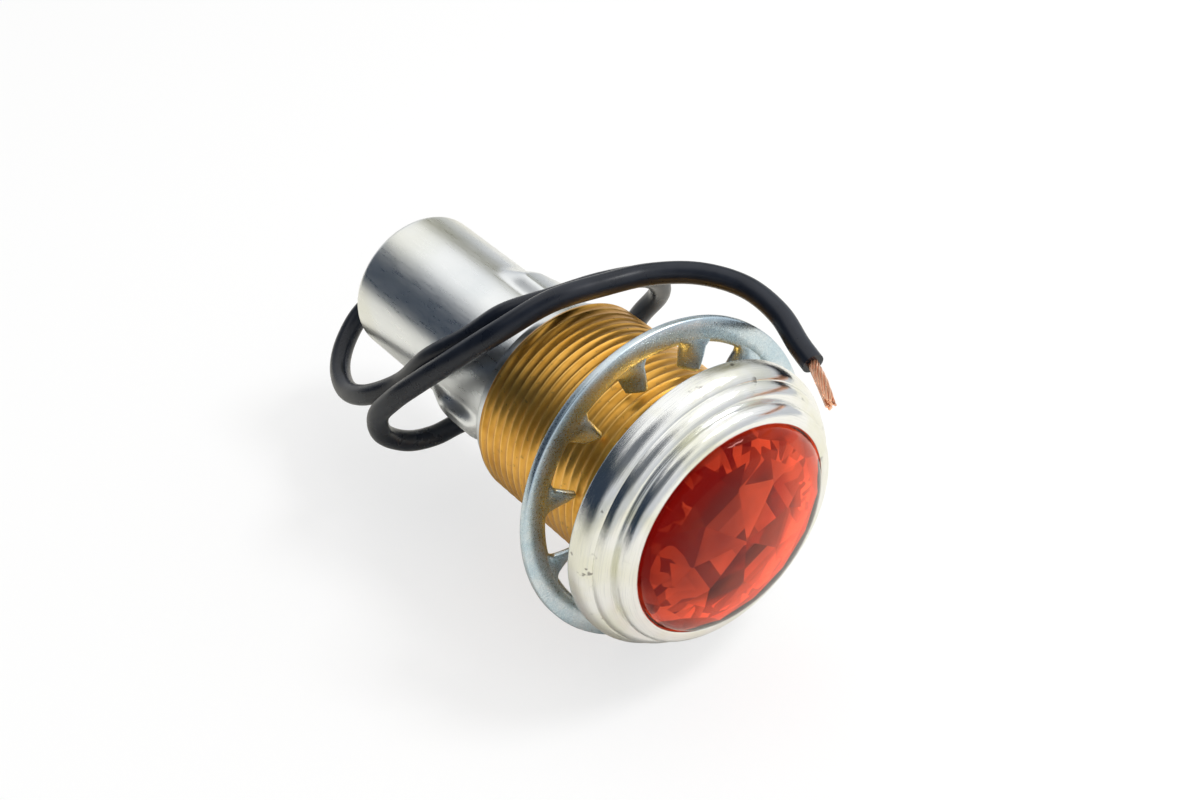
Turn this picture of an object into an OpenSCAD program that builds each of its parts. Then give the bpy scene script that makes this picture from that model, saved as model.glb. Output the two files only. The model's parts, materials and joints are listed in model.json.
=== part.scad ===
// Panel pilot light with a screw bezel, a jewel lens and a sprung bayonet lamp socket.
// Millimetres. The lens faces -Y, the barrel runs back along +Y and +Z is up.
// The origin is the middle of the bezel's rear face, the face that seats on the panel.
// Round pieces are turned about Z with the lens up, and laid along the axis by lay().

/* [Bezel] */
// outside diameter of the bezel
bezel_d = 31; // [28:0.5:36]
// straight band at the bezel's rear edge
bezel_band_h = 1; // [0.6:0.1:1.4]
// radius rounded on the bezel's rear edge
bezel_edge_r = 0.4; // [0.2:0.1:0.6]
// height of the bezel from its rear face to the top of the lip
bezel_h = 5.9; // [5.6:0.1:6.4]
// how far the first bead comes in from the outside diameter
bead_step = 0.8; // [0.6:0.1:1.2]
// how far the second bead comes in from the outside diameter
shoulder_step = 1.8; // [1.5:0.1:2.2]
// height of the step groove under the lip
groove_z = 4.1; // [3.9:0.1:4.3]
// how far the lip comes in from the outside diameter
lip_step = 2.25; // [2:0.05:2.6]
// thickness of the lip over the lens flange
lip_t = 0.8; // [0.5:0.1:1]
// diameter of the opening that the lens shows through
opening_d = 22.96; // [22.5:0.02:23.4]

/* [Lens] */
// thickness of the lens flange
lens_flange_t = 1.1; // [0.9:0.1:1.3]
// how much the flange is wider than the opening, on the diameter
lens_flange_lap = 1.3; // [1:0.1:1.6]
// clearance between the lens body and the opening, on the radius
lens_gap = 0.18; // [0.1:0.02:0.4]
// height of the lens top above the lip
lens_rise = 2.3; // [1.5:0.1:3]
// number of main facets cut in the back of the lens
facets = 8; // [6:1:12]
// angle of the first facet edge
facet_turn = 84; // [0:1:90]
// depth of the faceted recess
facet_depth = 2.4; // [1.5:0.1:2.8]
// thickness of the gasket between lens and barrel
gasket_t = 0.8; // [0.5:0.1:1]

/* [Barrel] */
// diameter over the thread crests
thread_d = 22.2; // [20:0.1:24]
// pitch of the thread
thread_pitch = 1.06; // [0.8:0.02:1.3]
// depth of the thread
thread_h = 0.5; // [0.3:0.05:0.6]
// length of the barrel behind the panel seat
barrel_l = 20.4; // [16:0.2:30]
// length of the barrel inside the bezel
engage = 3.2; // [3:0.1:3.4]
// bore of the barrel
barrel_bore = 20; // [19.6:0.1:20.4]
// clearance between bezel thread and barrel thread, on the radius
thread_fit = 0.05; // [0.02:0.01:0.1]

/* [Lock washer] */
// outside diameter of the washer
washer_d = 34.4; // [32:0.2:38]
// width of the plain rim
washer_rim = 2.6; // [2:0.1:3.2]
// sheet thickness
washer_t = 0.9; // [0.6:0.1:1.2]
// number of internal teeth
washer_teeth = 12; // [8:1:16]
// width of a tooth where it leaves the rim
tooth_w = 3.4; // [2.8:0.1:4.2]
// twist of each tooth
tooth_twist = 44; // [15:1:50]
// clearance between tooth tips and thread crests, on the radius
tooth_gap = 0.6; // [0.5:0.05:1]
// distance of the washer's middle behind the panel seat
washer_back = 3.9; // [3:0.1:8]
// backward lean of the loose washer
washer_lean = 6.5; // [0:0.5:7]
// sideways swing of the loose washer
washer_swing = 2; // [0:0.5:3]
// angle of the first tooth
tooth_turn = 14; // [0:1:30]

/* [Socket shell] */
// sheet thickness
shell_t = 0.5; // [0.4:0.05:0.6]
// length of the shell behind the barrel
shell_l = 26.8; // [24:0.2:32]
// diameter of the flange that seats on the barrel's end
flange_d = 20.7; // [20.4:0.1:21.2]
// thickness of the flange
flange_t = 1.2; // [0.8:0.1:1.6]
// depth of the spigot inside the barrel
spigot_l = 5; // [3:0.5:8]
// radius rounded on the rear edge
shell_edge_r = 0.8; // [0.5:0.1:1.2]
// diameter of the wire hole in the rear wall
wire_hole_d = 4; // [3.6:0.1:6]
// radius of the pressed-out bayonet channels
channel_r = 2.8; // [2.6:0.1:3]
// clearance between the lamp's pins and the channels, on the radius
channel_gap = 0.3; // [0.2:0.05:0.5]
// angle at which the lamp pins lock
lock_turn = 25; // [0:5:90]
// angle from the locking notch to the entry groove
entry_turn = 40; // [35:1:50]

/* [Lamp] */
// diameter of the lamp base
base_d = 15; // [14.8:0.1:15.1]
// gap between the lamp base and the shell's bore
base_gap = 0.15; // [0.1:0.05:0.4]
// length of the lamp base
base_l = 16; // [14:0.5:17]
// wall of the lamp base
base_t = 0.3; // [0.2:0.05:0.4]
// height of the locking pins above the bottom of the base
pin_z = 7; // [6:0.5:8]
// how far each locking pin stands out of the base
pin_out = 1; // [0.8:0.05:1.1]
// diameter of a locking pin
pin_d = 1.9; // [1.6:0.1:1.9]
// diameter of the glass globe
globe_d = 19; // [18:0.5:19.2]
// hole in the bottom of the base
base_hole_d = 6.4; // [5:0.2:8]
// depth of the insulator under the base
insulator_t = 0.8; // [0.6:0.1:1.2]
// width of the insulator's flat bottom
insulator_d = 8; // [7:0.5:10]
// how far the insulator's edge lies inside the base
insulator_in = 0.9; // [0.7:0.1:1.5]
// diameter of the solder contact
solder_d = 3.8; // [3:0.2:5]
// depth of the glass neck inside the base
neck_in = 9; // [7:0.5:11]
// overall length of the lamp
lamp_l = 36.5; // [34:0.5:37]
// wall of the glass
glass_t = 0.6; // [0.4:0.1:0.8]
// height of the filament above the bottom of the base
filament_z = 27; // [24:0.5:29]
// width of the filament between its lead-ins
filament_w = 6; // [4:0.5:7]
// diameter of the filament's coil
filament_d = 0.6; // [0.4:0.1:0.8]
// diameter of the stem's waist
stem_d = 3.2; // [2.6:0.2:4]
// height of the stem's flare
stem_flare = 5; // [3:0.5:7]
// length of the lead-ins above the stem
lead_in_l = 5; // [4:0.5:7]

/* [Sprung contact] */
// distance from the locked pins back to the contact button's face
contact_back = 7.6; // [7.4:0.1:8]
// gap between the insulating carrier and the shell's bore
carrier_gap = 0.25; // [0.15:0.05:0.6]
// thickness of the carrier
carrier_t = 2; // [1.4:0.1:2.6]
// diameter of the contact button
button_d = 4.8; // [4:0.1:6]
// thickness of the button's head
button_t = 1; // [0.6:0.1:1.4]
// diameter of the button's shank
shank_d = 2; // [1.6:0.1:2.2]
// length of the shank behind the carrier
tail_l = 1; // [0.6:0.1:1.6]
// mean diameter of the contact spring
spring_d = 11; // [8:0.2:12.5]
// wire diameter of the contact spring
spring_wire_d = 0.8; // [0.5:0.1:1]
// turns in the contact spring
spring_turns = 5; // [4:1:7]
// travel of the lamp and the contact
travel = 2; // [1.5:0.1:2.2]

/* [Lead wire] */
// outside diameter of the insulation
wire_d = 2.3; // [1.8:0.1:2.6]
// diameter of the bundle of copper strands
strand_d = 1.2; // [0.8:0.1:1.4]

/* [Hidden] */
$fn = 96;

// Heights above the panel seat along the axis: the front is positive.
barrel_front = engage;
barrel_rear = -barrel_l;
gasket_top = barrel_front + gasket_t;
flange_top = gasket_top + lens_flange_t;
lens_top = bezel_h + lens_rise;
bead_z = (bezel_band_h + groove_z) / 2 + 0.15;
lip_z = groove_z + 0.25;
shell_rear = barrel_rear - shell_l;
flange_rear = barrel_rear - flange_t;
tube_start = flange_rear - 1.2;
rear_wall = shell_rear + shell_t;
pins_z = tube_start - 3.2;
base_z = pins_z - pin_z;
base_top = base_z + base_l;
base_floor = base_z + insulator_t;
neck_z = base_top - neck_in;
stem_top = base_z + filament_z - lead_in_l;
globe_z = base_z + lamp_l - globe_d / 2;
button_z = pins_z - contact_back;
carrier_z = button_z - button_t;
carrier_rear = carrier_z - carrier_t;
tail_z = carrier_rear - tail_l;

// Radii that follow from the driving sizes.
thread_r = thread_d / 2;
bore_r = thread_r + thread_fit;
opening_r = opening_d / 2;
flange_r = (opening_d + lens_flange_lap) / 2;
cavity_r = flange_r + 0.1;
lip_r = bezel_d / 2 - lip_step;
shell_d = base_d + 2 * (base_gap + shell_t);
shell_r = shell_d / 2;
shell_bore_r = shell_r - shell_t;
carrier_d = 2 * (shell_bore_r - carrier_gap);
spigot_r = barrel_bore / 2;
washer_tip_r = thread_r + tooth_gap;
washer_root_r = washer_d / 2 - washer_rim;
base_r = base_d / 2;
neck_r = base_r - base_t;
pin_r = base_r + pin_out;
channel_out = pin_r + channel_gap + shell_t - shell_r;
channel_at = shell_r + channel_out - channel_r;

// The bayonet channel: a notch closed in front, a cross run behind it and an entry groove.
notch_front = pins_z + pin_d / 2 + 0.1;
cross_front = notch_front - travel;
cross_rear = pins_z - travel - pin_d / 2 - 1.2;

// The lead wire's route from the contact button, round the socket to its bare end.
route = [[0, 0, 0], [0, 41, 0], [0, 46, 0], [-1.5, 50, -2], [-4.5, 52, -5], [-7.5, 51, -7], [-10, 48.5, -8],
    [-12, 44, -7.5], [-12.5, 39, -5], [-11, 34, -1], [-10, 30, 4], [-7.5, 26, 8], [-5, 23.5, 11],
    [-1, 21, 12.5], [4, 19.5, 13], [9, 19, 12], [12, 20, 9.5], [13.5, 21.5, 6.5], [13, 24, 2.5],
    [12, 25.5, -1.5], [9, 27.5, -6.5], [5.5, 30, -9], [0.5, 32.5, -10], [-3.5, 34, -10], [-7, 34.5, -10.5],
    [-10.5, 34.5, -9.5], [-13.5, 34.5, -7], [-14.5, 33.5, -3.5], [-14, 31, 0], [-12.5, 28, 3.5],
    [-10, 24, 8], [-7, 21, 11.5], [-2.5, 19, 14], [2.5, 17.5, 14.5], [7.5, 16, 14.5], [11.5, 13, 14.5],
    [14, 9, 14], [14, 4, 13.5], [13, 0, 12.5], [12.5, -2.5, 12]];
strand_route = [[12.5, -2.5, 12], [10.5, -5.5, 13], [8, -9.5, 13.5]];

// Colours.
chrome = [0.80, 0.81, 0.80];
ruby = [0.78, 0.10, 0.05, 0.75];
brass = [0.76, 0.55, 0.24];
zinc = [0.70, 0.73, 0.76];
satin = [0.76, 0.77, 0.76];
steel = [0.62, 0.63, 0.65];
phenolic = [0.34, 0.20, 0.12];
black = [0.06, 0.07, 0.09];
copper = [0.80, 0.45, 0.32];
glass = [0.90, 0.92, 0.92, 0.35];
tungsten = [0.35, 0.35, 0.37];

// ---------- shared shapes ----------

// Lays a piece turned about Z along the row's axis, with its top to -Y.
module lay() {
    rotate([90, 0, 0]) children();
}

// A turned piece from a list of [radius, height] points.
module turned(points) {
    lay() rotate_extrude() polygon(points);
}

// A plain ring between two radii and two heights.
module ring(r_in, r_out, z0, z1) {
    turned([[r_in, z0], [r_out, z0], [r_out, z1], [r_in, z1]]);
}

// Points of a quarter-like curve from p to q that bends towards c.
function bend(p, c, q, n = 8) =
    [for (i = [0:n]) let (t = i / n) (1 - t) * (1 - t) * p + 2 * t * (1 - t) * c + t * t * q];

// Outside points of a thread cut as close ring grooves, from the height z0 up to z1.
function thread_points(r, z0, z1) =
    let (n = floor((z1 - z0) / thread_pitch))
    [for (i = [0:n - 1]) let (z = z0 + i * thread_pitch)
        each [[r, z], [r, z + thread_pitch * 0.2], [r - thread_h, z + thread_pitch * 0.6]]];

// Points along one smooth curve through the given points (centripetal Catmull-Rom).
function knot(t, p, q) = t + pow(norm(q - p), 0.5);
function blend(t, t0, t1, p, q) = ((t1 - t) * p + (t - t0) * q) / (t1 - t0);
function span_point(p, u) =
    let (t0 = 0, t1 = knot(t0, p[0], p[1]), t2 = knot(t1, p[1], p[2]), t3 = knot(t2, p[2], p[3]),
        t = t1 + u * (t2 - t1),
        a = blend(t, t0, t1, p[0], p[1]), b = blend(t, t1, t2, p[1], p[2]), c = blend(t, t2, t3, p[2], p[3]),
        d = blend(t, t0, t2, a, b), e = blend(t, t1, t3, b, c))
    blend(t, t1, t2, d, e);
function smooth(p, steps) =
    let (n = len(p), q = concat([2 * p[0] - p[1]], p, [2 * p[n - 1] - p[n - 2]]))
    concat([for (i = [0:n - 2]) for (k = [0:steps - 1])
        span_point([q[i], q[i + 1], q[i + 2], q[i + 3]], k / steps)], [p[n - 1]]);

// One tube swept along a line of points: each ring's frame is carried on from the ring before it.
function unit(v) = v / norm(v);
function heading(p, i) =
    unit(p[min(i + 1, len(p) - 1)] - p[max(i - 1, 0)]);
function carried(v, t) = unit(v - (v * t) * t);
function sides(p, v, i = 0) =
    let (s = carried(v, heading(p, i)))
    i == len(p) - 1 ? [s] : concat([s], sides(p, s, i + 1));
module tube(p, d, start, n = 8) {
    s = sides(p, start);
    points = [for (i = [0:len(p) - 1]) let (t = heading(p, i), w = cross(t, s[i]))
        for (k = [0:n - 1]) p[i] + d / 2 * (cos(360 * k / n) * s[i] + sin(360 * k / n) * w)];
    walls = [for (i = [0:len(p) - 2]) for (k = [0:n - 1]) let (a = i * n + k, b = i * n + (k + 1) % n)
        each [[a, b, b + n], [a, b + n, a + n]]];
    first = [for (k = [n - 1:-1:0]) k];
    last = [for (k = [0:n - 1]) (len(p) - 1) * n + k];
    // Faces run clockwise seen from outside.
    polyhedron(points, [for (f = concat(walls, [first, last])) [for (k = [len(f) - 1:-1:0]) f[k]]]);
}

// ---------- front ----------

// The screw bezel: two shallow beads, a step groove and a lip rolled over the lens.
module bezel() {
    r = bezel_d / 2;
    outside = concat(
        bend([r - bezel_edge_r, 0], [r, 0], [r, bezel_edge_r], 5),
        bend([r, bezel_band_h], [r, bead_z - 0.6], [r - bead_step, bead_z]),
        bend([r - bead_step - 0.12, bead_z + 0.05], [r - bead_step - 0.2, groove_z - 0.4],
            [r - shoulder_step, groove_z - 0.05]),
        [[lip_r - 0.15, groove_z], [lip_r - 0.15, lip_z - 0.05]],
        bend([lip_r, lip_z + 0.05], [lip_r, bezel_h - 0.45], [lip_r - 1, bezel_h - 0.1]),
        bend([lip_r - 1, bezel_h - 0.1], [opening_r, bezel_h + 0.1], [opening_r, flange_top + lip_t / 2], 6));
    inside = [[opening_r, flange_top], [cavity_r, flange_top], [cavity_r, engage - 0.2], [bore_r, engage - 0.2],
        [bore_r, 0]];
    color(chrome) difference() {
        turned(concat(outside, inside));
        for (z = [0.7:thread_pitch:engage - 0.8])
            turned([[bore_r - 0.1, z - 0.3], [bore_r + thread_h - 0.1, z], [bore_r - 0.1, z + 0.3]]);
    }
}

// The jewel: a smooth dome in front, cut behind with a ring of small facets and a low pyramid.
module lens() {
    body_r = opening_r - lens_gap;
    rim_z = bezel_h - 0.3;
    dome = concat([[0, gasket_top], [flange_r, gasket_top], [flange_r, flange_top], [body_r, flange_top]],
        bend([body_r, rim_z], [body_r, rim_z + 0.75], [body_r - 1.1, rim_z + 1.4], 6),
        bend([body_r - 1.1, rim_z + 1.4], [body_r - 3.1, lens_top], [0, lens_top], 14));
    rim_depth = facet_depth / 2;
    color(ruby) difference() {
        turned(dome);
        lay() translate([0, 0, gasket_top - 0.01]) {
            intersection_for(i = [0, 1])
                rotate([0, 0, facet_turn + i * 180 / facets])
                    cylinder(h = rim_depth, r1 = barrel_bore / 2 + 0.2, r2 = barrel_bore / 2 - 1.2, $fn = facets);
            translate([0, 0, rim_depth - 0.01]) rotate([0, 0, facet_turn])
                cylinder(h = facet_depth - rim_depth, r1 = barrel_bore / 2 - 1.4, r2 = 0, $fn = facets);
        }
    }
}

module lens_gasket() {
    color(black) ring(barrel_bore / 2, flange_r - 0.1, barrel_front, gasket_top);
}

// ---------- barrel and washer ----------

// The threaded brass tube that passes through the panel.
module barrel() {
    start = barrel_rear + 0.5;
    color(brass) turned(concat(
        [[spigot_r, barrel_rear], [thread_r - 0.4, barrel_rear], [thread_r, start - 0.1]],
        thread_points(thread_r, start, barrel_front - 0.3),
        [[thread_r, barrel_front - 0.3], [thread_r - 0.3, barrel_front], [spigot_r, barrel_front]]));
}

// One twisted tooth that reaches inwards from the washer's rim.
module washer_tooth() {
    lap = 0.4;
    translate([washer_root_r + lap, 0, 0]) rotate([0, -90, 0])
        linear_extrude(height = washer_root_r + lap - washer_tip_r, twist = tooth_twist, slices = 5,
            scale = [1, 0.7], $fn = 0)
            square([washer_t * 0.9, tooth_w], center = true);
}

// The internal-tooth lock washer, loose on the barrel.
module lock_washer() {
    color(zinc) lay() translate([0, 0, -washer_back]) rotate([-washer_lean, -washer_swing, 0]) {
        difference() {
            cylinder(h = washer_t, r = washer_d / 2, center = true);
            cylinder(h = washer_t + 1, r = washer_root_r, center = true);
        }
        for (i = [0:washer_teeth - 1])
            rotate([0, 0, tooth_turn + i * 360 / washer_teeth]) washer_tooth();
    }
}

// ---------- socket ----------

// One bayonet channel, grown by the given amount: 0 gives its inside, a wall gives its outside.
module channel(grow) {
    r = channel_r - shell_t + grow;
    reach = channel_at + r;
    // the locking notch
    translate([channel_at, 0, cross_rear]) cylinder(h = notch_front - cross_rear + grow, r = r);
    // the cross run to the entry groove
    rotate_extrude(angle = entry_turn)
        translate([shell_bore_r - 1, cross_rear - grow])
            square([reach - shell_bore_r + 1, cross_front - cross_rear + 2 * grow]);
    // the entry groove, open to the front
    rotate([0, 0, entry_turn]) translate([channel_at, 0, cross_rear]) {
        cylinder(h = flange_rear - cross_rear, r = r);
    }
    // both run out to the rear
    for (a = [0, entry_turn])
        rotate([0, 0, a]) translate([channel_at, 0, cross_rear - 2.4])
            cylinder(h = 2.41, r1 = r - channel_out, r2 = r);
}

// The drawn shell: spigot, flange, tube, two pressed-out bayonet channels and a rear wall.
module socket_shell() {
    outside = concat(
        bend([shell_r - shell_edge_r, shell_rear], [shell_r, shell_rear], [shell_r, shell_rear + shell_edge_r], 5),
        [[shell_r, tube_start - 0.6]],
        bend([shell_r, tube_start - 0.6], [shell_r, tube_start + 0.5], [flange_d / 2 - 0.5, flange_rear], 5),
        bend([flange_d / 2 - 0.5, flange_rear], [flange_d / 2, flange_rear], [flange_d / 2, flange_rear + 0.5], 4),
        [[flange_d / 2, barrel_rear], [spigot_r, barrel_rear], [spigot_r, barrel_rear + spigot_l]]);
    inside = [[spigot_r - shell_t, barrel_rear + spigot_l], [spigot_r - shell_t, flange_rear + 0.6],
        [shell_bore_r, tube_start + 0.3], [shell_bore_r, rear_wall], [0, rear_wall], [0, shell_rear]];
    color(satin) difference() {
        union() {
            turned(concat(outside, inside));
            lay() difference() {
                for (a = [0, 180]) rotate([0, 0, lock_turn + a]) channel(shell_t);
                cylinder(h = 200, r = shell_bore_r, center = true);
            }
        }
        lay() for (a = [0, 180]) rotate([0, 0, lock_turn + a]) channel(0);
        lay() translate([0, 0, shell_rear - 1]) cylinder(h = shell_t + 2, r = wire_hole_d / 2);
    }
}

module contact_carrier() {
    color(phenolic) ring(shank_d / 2, carrier_d / 2, carrier_rear, carrier_z);
}

module contact_button() {
    color(brass) turned([[0, tail_z], [shank_d / 2, tail_z], [shank_d / 2, carrier_z], [button_d / 2, carrier_z],
        [button_d / 2, button_z - 0.3], [button_d / 2 - 0.3, button_z], [0, button_z]]);
}

// The helical spring between the carrier and the shell's rear wall.
module contact_spring() {
    steps = 20;
    n = spring_turns * steps;
    low = rear_wall + spring_wire_d / 2;
    high = carrier_rear - spring_wire_d / 2;
    // The first and last turns lie flat on their seats.
    function rise(i) = low + (high - low) * min(1, max(0, (i - steps) / (n - 2 * steps)));
    path = [for (i = [0:n]) let (a = 360 * i / steps)
        [spring_d / 2 * cos(a), spring_d / 2 * sin(a), rise(i)]];
    color(steel) lay() tube(path, spring_wire_d, [1, 0, 0], 8);
}

// ---------- lead wire ----------

function row(z) = [0, -z, 0];

module lead_wire() {
    path = concat([row(tail_z)], [for (i = [1:len(route) - 1]) route[i]]);
    color(black) tube(smooth(path, 2), wire_d, [1, 0, 0]);
}

module lead_strands() {
    color(copper) tube(smooth(strand_route, 3), strand_d, [0, 0, 1]);
}

// ---------- lamp ----------

// The blown globe and its neck, hollow, down to where the neck sits in the base.
module bulb_glass() {
    join = asin(neck_r / (globe_d / 2));
    r = globe_d / 2;
    outer = [for (a = [0:7.5:180 - join]) [r * sin(a), globe_z + r * cos(a)]];
    ri = r - glass_t;
    join_in = asin((neck_r - glass_t) / ri);
    inner = [for (a = [0:7.5:180 - join_in]) [ri * sin(a), globe_z + ri * cos(a)]];
    color(glass) turned(concat(outer, [[neck_r, base_top + 0.5], [neck_r, neck_z], [neck_r - glass_t, neck_z],
        [neck_r - glass_t, base_top + 0.5]], [for (i = [len(inner) - 1:-1:0]) inner[i]]));
}

// The brass base: a thin cup with a rolled top edge.
module bulb_base() {
    hole_r = base_hole_d / 2;
    top = base_floor + 2 * base_t;
    color(brass) difference() {
        turned([[hole_r, base_floor], [base_r - 0.5, base_floor], [base_r, base_floor + 0.5],
            [base_r, base_top], [neck_r, base_top], [neck_r, top], [hole_r, top]]);
        lay() rotate([0, 0, lock_turn]) translate([0, 0, pins_z])
            rotate([0, 90, 0]) cylinder(h = 3 * base_d, d = pin_d, center = true, $fn = 32);
    }
}

// A locking pin held in a hole in the base's wall.
module lamp_pin(turn) {
    color(brass) lay() rotate([0, 0, lock_turn + turn]) translate([neck_r, 0, pins_z])
        rotate([0, 90, 0]) cylinder(h = pin_r - neck_r, d = pin_d, $fn = 32);
}
module bulb_pin_right() { lamp_pin(0); }
module bulb_pin_left() { lamp_pin(180); }

// The black glass button that closes the base.
module bulb_insulator() {
    hole_r = base_hole_d / 2;
    top = base_floor + 3 * base_t;
    color(black) turned([[0, base_z], [insulator_d / 2, base_z], [base_r - insulator_in, base_floor],
        [hole_r, base_floor], [hole_r, top], [0, top]]);
}

// The solder contact under the base.
module bulb_contact() {
    color(steel) turned([[0, button_z], [solder_d / 4, button_z], [solder_d / 2, base_z], [0, base_z]]);
}

// The glass stem that carries the lead-ins, flared out to the neck.
module bulb_stem() {
    r = neck_r - glass_t;
    waist = stem_d / 2;
    rim = neck_z + glass_t;
    color(glass) turned(concat([[0, neck_z], [r, neck_z], [r, rim]],
        bend([r, rim], [waist, rim + 0.4], [waist, neck_z + stem_flare]), [[waist, stem_top], [0, stem_top]]));
}

// A lead-in wire from the top of the stem to one end of the filament.
module lead_in(side) {
    from = side * stem_d / 3;
    to = side * filament_w / 2;
    path = [[from, 0, stem_top], [from, 0, stem_top + 0.5], [to, 0, stem_top + lead_in_l * 0.6],
        [to, 0, base_z + filament_z - filament_d / 2]];
    color(steel) lay() rotate([0, 0, lock_turn]) tube(smooth(path, 3), 0.5, [0, 1, 0]);
}
module bulb_lead_in_right() { lead_in(1); }
module bulb_lead_in_left() { lead_in(-1); }

// The coiled filament across the two lead-ins.
module filament() {
    color(tungsten) lay() rotate([0, 0, lock_turn]) translate([-filament_w / 2 - 0.4, 0, base_z + filament_z])
        rotate([0, 90, 0]) cylinder(h = filament_w + 0.8, d = filament_d, $fn = 24);
}

bezel();
lens();
lens_gasket();
barrel();
lock_washer();
socket_shell();
contact_carrier();
contact_button();
contact_spring();
lead_wire();
lead_strands();
bulb_glass();
bulb_base();
bulb_pin_right();
bulb_pin_left();
bulb_insulator();
bulb_contact();
bulb_stem();
bulb_lead_in_right();
bulb_lead_in_left();
filament();
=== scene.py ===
"""Looks of the panel pilot light: lens to -Y, barrel along +Y, origin at the panel seat. Metres."""
import json
import math

import bmesh
import bpy
from mathutils import Matrix, Vector


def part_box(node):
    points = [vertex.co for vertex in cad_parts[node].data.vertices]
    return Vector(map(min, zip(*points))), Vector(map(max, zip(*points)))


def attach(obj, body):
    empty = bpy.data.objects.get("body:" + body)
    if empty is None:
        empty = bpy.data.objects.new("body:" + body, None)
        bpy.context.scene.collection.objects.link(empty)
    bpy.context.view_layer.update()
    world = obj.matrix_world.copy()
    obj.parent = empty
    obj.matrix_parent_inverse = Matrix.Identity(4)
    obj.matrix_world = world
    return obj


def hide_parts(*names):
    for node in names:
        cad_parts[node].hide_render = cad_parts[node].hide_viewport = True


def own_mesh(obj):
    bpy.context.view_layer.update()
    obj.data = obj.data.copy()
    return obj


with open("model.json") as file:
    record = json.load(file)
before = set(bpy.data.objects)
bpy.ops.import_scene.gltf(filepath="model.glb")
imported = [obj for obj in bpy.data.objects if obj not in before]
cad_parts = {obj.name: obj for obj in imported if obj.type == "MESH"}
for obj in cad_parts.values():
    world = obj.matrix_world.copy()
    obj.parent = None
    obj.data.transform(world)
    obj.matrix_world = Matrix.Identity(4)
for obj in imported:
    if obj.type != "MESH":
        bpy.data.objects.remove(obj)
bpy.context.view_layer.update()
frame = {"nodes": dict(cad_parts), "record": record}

MM = 0.001


# ---------- camera ----------

def aim_camera(target, azimuth, elevation, distance, lens):
    """The main camera, with no roll; azimuth 0 looks along +Y and a positive elevation looks down."""
    data = bpy.data.cameras.new("camera")
    data.lens, data.sensor_width = lens, 36
    data.clip_start, data.clip_end = 0.005, 20
    camera = bpy.data.objects.new("camera", data)
    bpy.context.collection.objects.link(camera)
    a, e = math.radians(azimuth), math.radians(elevation)
    back = Vector((math.sin(a) * math.cos(e), -math.cos(a) * math.cos(e), math.sin(e)))
    camera.location = Vector(target) + back * distance
    camera.rotation_euler = back.to_track_quat("Z", "Y").to_euler()
    bpy.context.scene.camera = camera


aim_camera((0.0042, 0.0197, -0.0020), azimuth=-38.5, elevation=38.2, distance=0.209, lens=60)


# ---------- shared mesh code ----------

def add(name, body, bm, replaces=(), sharp=35):
    """Makes the object of a bmesh, smooth but for edges sharper than the given angle."""
    bmesh.ops.recalc_face_normals(bm, faces=bm.faces)
    mesh = bpy.data.meshes.new(name)
    bm.to_mesh(mesh)
    bm.free()
    mesh.shade_smooth()
    mesh.set_sharp_from_angle(angle=math.radians(sharp))
    piece = bpy.data.objects.new(name, mesh)
    bpy.context.collection.objects.link(piece)
    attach(piece, body)
    if replaces:
        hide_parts(*replaces)
    return piece


def on_axis(r, z, angle):
    """A point at radius r and height z above the panel seat, in metres; z is positive towards the lens."""
    return Vector((r * math.cos(angle), -z, r * math.sin(angle))) * MM


def smooth_line(points, steps):
    """Centripetal Catmull-Rom curve through the points, as the part's own route is drawn."""
    p = [Vector(q) for q in points]
    p = [2 * p[0] - p[1]] + p + [2 * p[-1] - p[-2]]
    line = []
    for i in range(1, len(p) - 2):
        a, b, c, d = p[i - 1:i + 3]
        t0, t1 = 0.0, math.sqrt((b - a).length)
        t2 = t1 + math.sqrt((c - b).length)
        t3 = t2 + math.sqrt((d - c).length)
        for k in range(steps):
            t = t1 + (t2 - t1) * k / steps
            ab = a.lerp(b, (t - t0) / (t1 - t0))
            bc = b.lerp(c, (t - t1) / (t2 - t1))
            cd = c.lerp(d, (t - t2) / (t3 - t2))
            abc = ab.lerp(bc, (t - t0) / (t2 - t0))
            bcd = bc.lerp(cd, (t - t1) / (t3 - t1))
            line.append(abc.lerp(bcd, (t - t1) / (t2 - t1)))
    return line + [p[-2]]


def headings(line):
    """The direction of a line of points at each point."""
    return [(line[min(i + 1, len(line) - 1)] - line[max(i - 1, 0)]).normalized() for i in range(len(line))]


def join_rings(bm, rings, closed=False):
    """Joins each ring of vertices to the next one by quads, and the last to the first where it is closed."""
    for lower, upper in zip(rings, rings[1:] + (rings[:1] if closed else [])):
        n = len(lower)
        for k in range(n):
            bm.faces.new((lower[k], lower[(k + 1) % n], upper[(k + 1) % n], upper[k]))


def sweep(bm, line, radius, sides):
    """Adds a capped tube along a line."""
    side = Vector((1, 0, 0))
    rings = []
    for p, t in zip(line, headings(line)):
        side = (side - side.dot(t) * t).normalized()
        other = t.cross(side)
        angles = [math.tau * k / sides for k in range(sides)]
        rings.append([bm.verts.new(p + (math.cos(a) * side + math.sin(a) * other) * radius) for a in angles])
    join_rings(bm, rings)
    bm.faces.new(rings[0][::-1])
    bm.faces.new(rings[-1])


# ---------- lead wire ----------

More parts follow.
